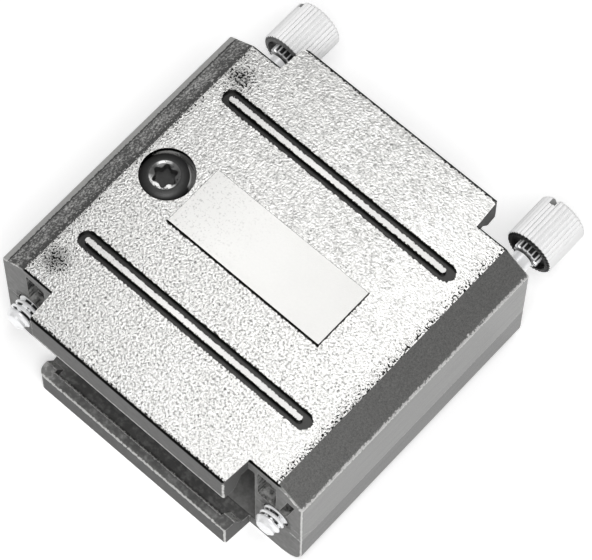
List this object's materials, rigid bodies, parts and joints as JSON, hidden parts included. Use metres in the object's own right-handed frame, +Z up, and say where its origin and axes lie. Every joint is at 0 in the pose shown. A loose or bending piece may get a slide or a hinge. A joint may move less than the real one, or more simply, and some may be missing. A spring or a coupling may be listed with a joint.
{
  "type": "d-sub hood",
  "caption": "Die-cast metal hood in two half shells for D connectors at both ends, with a six-lobe closing screw and long captive thumbscrews.",
  "frame": {"origin": "centre of the flat underside of the lower shell, halfway between the two pairs of corner faces", "axes": "+X runs across the two thumbscrews, -Y is the mating end that the threads point to, +Z is up from the underside to the marked top face"},
  "size_m": [0.04, 0.0472, 0.0172],
  "materials": {
    "cast_plating": "nickel-plated zinc casting with a fine sanded grain",
    "blackened_steel": "black oxide steel, worn bright on the edges of the recess",
    "bright_nickel": "bright nickel-plated turned brass",
    "knurled_nickel": "pale nickel-plated straight knurl",
    "spring_steel": "plain spring steel strip"
  },
  "bodies": {
    "hood": {"upper_shell": "cast_plating", "lower_shell": "cast_plating", "closing_screw": "blackened_steel"},
    "clip_left": {"retaining_clip_left": "spring_steel"},
    "thumbscrew_left": {"jackscrew_left": "bright_nickel", "thumb_knob_left": "knurled_nickel"},
    "clip_right": {"retaining_clip_right": "spring_steel"},
    "thumbscrew_right": {"jackscrew_right": "bright_nickel", "thumb_knob_right": "knurled_nickel"}
  },
  "joints": [
    {"name": "push_left", "type": "slide", "parent": "hood", "child": "clip_left", "axis": [0, -1, 0], "range_m": [0, 0.0042]},
    {"name": "turn_left", "type": "hinge", "parent": "clip_left", "child": "thumbscrew_left", "pos_m": [-0.01666, 0, 0.0085], "axis": [0, -1, 0], "continuous": true},
    {"name": "push_right", "type": "slide", "parent": "hood", "child": "clip_right", "axis": [0, -1, 0], "range_m": [0, 0.0042]},
    {"name": "turn_right", "type": "hinge", "parent": "clip_right", "child": "thumbscrew_right", "pos_m": [0.01666, 0, 0.0085], "axis": [0, -1, 0], "continuous": true}
  ]
}
